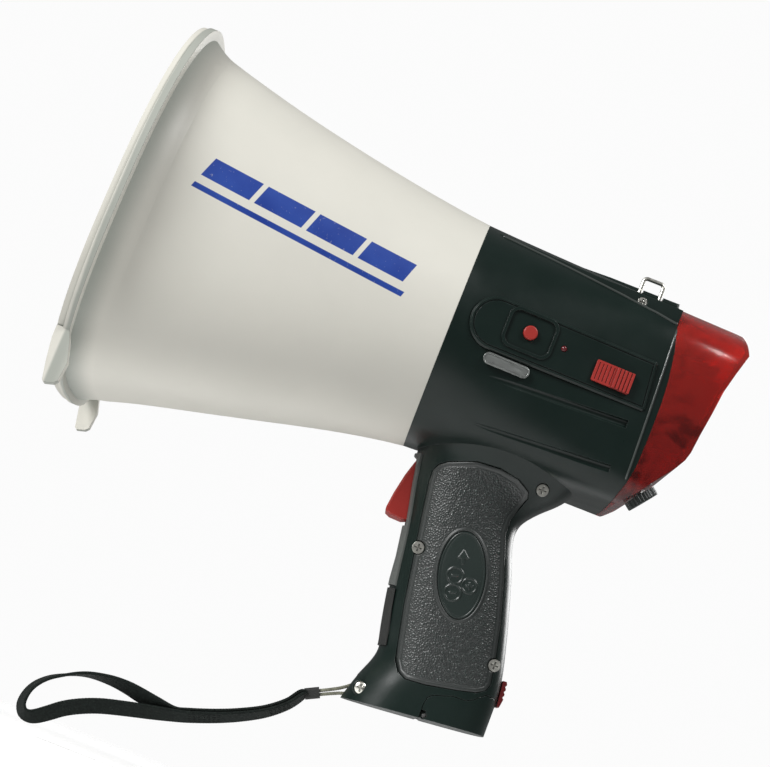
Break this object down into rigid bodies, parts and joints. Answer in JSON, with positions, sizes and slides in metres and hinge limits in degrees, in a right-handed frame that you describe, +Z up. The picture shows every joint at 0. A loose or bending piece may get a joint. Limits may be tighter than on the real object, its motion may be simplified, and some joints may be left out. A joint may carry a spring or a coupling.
{
  "type": "handheld megaphone",
  "caption": "Pistol-grip handheld megaphone with a round flared horn, battery grip with trigger and hinged base door, side control panel, translucent rear strobe housing and wrist strap.",
  "frame": {"origin": "centre of the bounding box, in the mid plane; the horn axis runs 78.2 mm above it along X and meets the joint plane of bell and housing at x = 14.4 mm", "axes": "+X rearward along the horn axis (the mouth faces -X), +Z up with the grip hanging down, the side with the controls faces -Y"},
  "size_m": [0.3106, 0.2108, 0.3544],
  "materials": {
    "bell_plastic": "satin warm white",
    "black_plastic": "satin, fine spark texture",
    "grain_black": "leather grain texture",
    "grey_plastic": "satin",
    "horn_plastic": "satin",
    "holder_black": "moulded",
    "switch_black": "moulded",
    "red_plastic": "satin",
    "red_translucent": "translucent polished",
    "led_clear": "diffuse",
    "silver_plate": "brushed",
    "alloy": "natural",
    "nickel": "bright nickel",
    "steel": "zinc plated",
    "ferrite": "sintered, dull",
    "iron_core": "laminated",
    "copper": "enamelled copper",
    "film": "polyester film",
    "rubber_black": "matte",
    "mirror": "vacuum metallised",
    "clear_glass": "clear",
    "board_green": "solder mask",
    "can_blue": "sleeved can",
    "cell_wrap": "printed sleeve, plain",
    "cord": "braided",
    "webbing": "woven nylon",
    "wire_red": "PVC insulated"
  },
  "bodies": {
    "megaphone": {"bell": "bell_plastic", "left_housing": "black_plastic", "right_housing": "black_plastic", "rear_lens": "red_translucent", "control_panel": "black_plastic", "button_switch": "switch_black", "status_led": "led_clear", "slide_switch": "switch_black", "label_plate": "silver_plate", "left_grip_panel": "grain_black", "right_grip_panel": "grain_black", "left_emblem": "black_plastic", "right_emblem": "black_plastic", "trigger_bezel": "grey_plastic", "trigger_pin": "steel", "ptt_switch": "switch_black", "rib_insert": "rubber_black", "tone_tube": "horn_plastic", "reflector": "horn_plastic", "horn_screws": "nickel", "driver_cap": "horn_plastic", "driver_screws": "nickel", "diaphragm": "film", "voice_coil": "copper", "top_plate": "steel", "magnet": "ferrite", "back_plate": "steel", "rear_bulkhead": "black_plastic", "mic_cup": "black_plastic", "mic_grille": "steel", "mic_mount": "rubber_black", "mic_capsule": "alloy", "strobe_reflector": "mirror", "xenon_tube": "clear_glass", "strobe_board": "board_green", "volume_pot": "steel", "main_board": "board_green", "transformer": "iron_core", "capacitors": "can_blue", "heat_sink": "alloy", "battery_holder": "holder_black", "batteries": "cell_wrap", "battery_contacts": "nickel", "door_pin": "steel", "housing_screws": "nickel", "lug_screw": "nickel", "ridge_screw": "nickel", "speaker_wires": "wire_red", "battery_wires": "wire_red"},
    "button": {"siren_button": "red_plastic"},
    "slider": {"slide_knob": "red_plastic"},
    "trigger": {"trigger": "red_plastic", "trigger_spring": "steel"},
    "door": {"battery_door": "black_plastic"},
    "latch": {"battery_latch": "red_plastic"},
    "strap": {"strap_cord": "cord", "strap_crimp": "alloy", "wrist_strap": "webbing"},
    "shoulder_ring": {"d_ring": "nickel"},
    "volume": {"volume_knob": "black_plastic"}
  },
  "joints": [
    {"name": "siren_press", "type": "slide", "parent": "megaphone", "child": "button", "axis": [-0.0896, 0.996, 0], "range_m": [0, 0.0015], "stiffness_N_per_m": 800},
    {"name": "mode_slide", "type": "slide", "parent": "megaphone", "child": "slider", "axis": [0.996, 0.0896, 0], "range_m": [0, 0.005]},
    {"name": "trigger_pull", "type": "hinge", "parent": "megaphone", "child": "trigger", "pos_m": [0.0276, 0, 0.011], "axis": [0, -1, 0], "range_deg": [0, 8], "stiffness_Nm_per_rad": 0.5},
    {"name": "door_open", "type": "hinge", "parent": "megaphone", "child": "door", "pos_m": [0.0717, 0, -0.10255], "axis": [0, 1, 0], "range_deg": [0, 100]},
    {"name": "latch_slide", "type": "slide", "parent": "megaphone", "child": "latch", "axis": [-0.1151, 0, 0.9934], "range_m": [0, 0.003]},
    {"name": "strap_swing", "type": "hinge", "parent": "megaphone", "child": "strap", "pos_m": [0.0386, 0, -0.1012], "axis": [0, 1, 0], "range_deg": [-60, 25]},
    {"name": "ring_swing", "type": "hinge", "parent": "megaphone", "child": "shoulder_ring", "pos_m": [0.1019, 0, 0.1332], "axis": [1, 0, 0], "range_deg": [-75, 75]},
    {"name": "volume_turn", "type": "hinge", "parent": "megaphone", "child": "volume", "pos_m": [0.132, 0, 0.0393], "axis": [0.7861, 0, -0.6181], "range_deg": [0, 270]}
  ]
}
